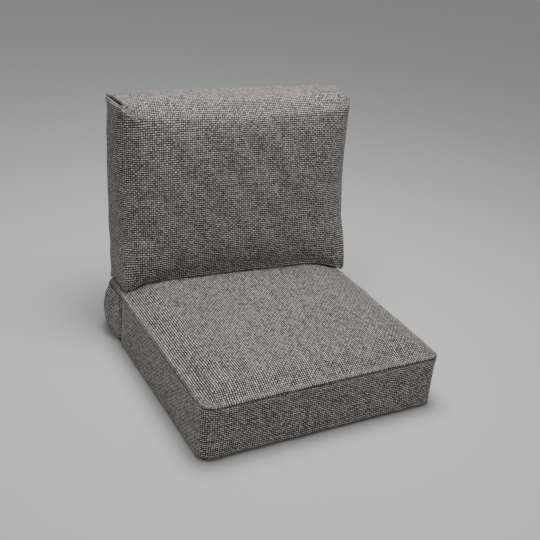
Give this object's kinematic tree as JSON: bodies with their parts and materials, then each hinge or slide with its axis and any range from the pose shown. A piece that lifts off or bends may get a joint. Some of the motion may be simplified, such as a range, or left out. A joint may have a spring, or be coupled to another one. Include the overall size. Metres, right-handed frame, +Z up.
{
  "type": "chair seat pad with back cushion",
  "caption": "Boxed deep-seating seat cushion with a loose, leaning back cushion on it, in one tweedy outdoor weave, both with zipped covers.",
  "frame": {"origin": "middle of the seat cushion's flat underside", "axes": "+Z up, -Y towards the front of the seat, +X to the right of someone facing the front"},
  "size_m": [0.6333, 0.676, 0.5952],
  "materials": {
    "woven_fabric": "matt tweed weave of light grey-beige and charcoal yarns",
    "zip_tape": "fine woven tape",
    "zip_coil": "nylon coil",
    "zip_metal": "gunmetal enamel, worn at the edges",
    "fibre": "white polyester fibre",
    "foam": "open-cell polyurethane foam",
    "lining": "non-woven sheet"
  },
  "bodies": {
    "seat": {"seat_top_panel": "woven_fabric", "seat_bottom_panel": "woven_fabric", "seat_front_boxing": "woven_fabric", "seat_rear_boxing_upper": "woven_fabric", "seat_rear_boxing_lower": "woven_fabric", "seat_zip_tape_upper": "zip_tape", "seat_zip_tape_lower": "zip_tape", "seat_zip_coil_upper": "zip_coil", "seat_zip_coil_lower": "zip_coil", "seat_zip_top_stops": "zip_metal", "seat_zip_bottom_stop": "zip_metal", "seat_wrap_upper": "fibre", "seat_wrap_lower": "fibre", "seat_foam_core": "foam"},
    "seat_slider": {"seat_zip_slider": "zip_metal"},
    "seat_pull": {"seat_zip_pull": "zip_metal"},
    "back": {"back_front_panel": "woven_fabric", "back_rear_panel": "woven_fabric", "back_rear_strip": "woven_fabric", "back_zip_tape_upper": "zip_tape", "back_zip_tape_lower": "zip_tape", "back_zip_coil_upper": "zip_coil", "back_zip_coil_lower": "zip_coil", "back_zip_top_stops": "zip_metal", "back_zip_bottom_stop": "zip_metal", "back_inner_cover": "lining", "back_fibre_fill": "fibre"},
    "back_slider": {"back_zip_slider": "zip_metal"},
    "back_pull": {"back_zip_pull": "zip_metal"}
  },
  "joints": [
    {"name": "back_lift", "type": "slide", "parent": "seat", "child": "back", "axis": [0, 0, 1], "range_m": [0, 0.25]},
    {"name": "seat_zip_travel", "type": "slide", "parent": "seat", "child": "seat_slider", "axis": [-1, 0, 0], "range_m": [0, 0.468]},
    {"name": "seat_pull_swing", "type": "hinge", "parent": "seat_slider", "child": "seat_pull", "pos_m": [0.234, 0.30755, 0.073], "axis": [0, 0, 1], "range_deg": [0, 180]},
    {"name": "back_zip_travel", "type": "slide", "parent": "back", "child": "back_slider", "axis": [-0.9976, 0.0698, 0], "range_m": [0, 0.468]},
    {"name": "back_pull_swing", "type": "hinge", "parent": "back_slider", "child": "back_pull", "pos_m": [0.25408, 0.28442, 0.19118], "axis": [0.0097, 0.1388, 0.9903], "range_deg": [0, 180]}
  ]
}
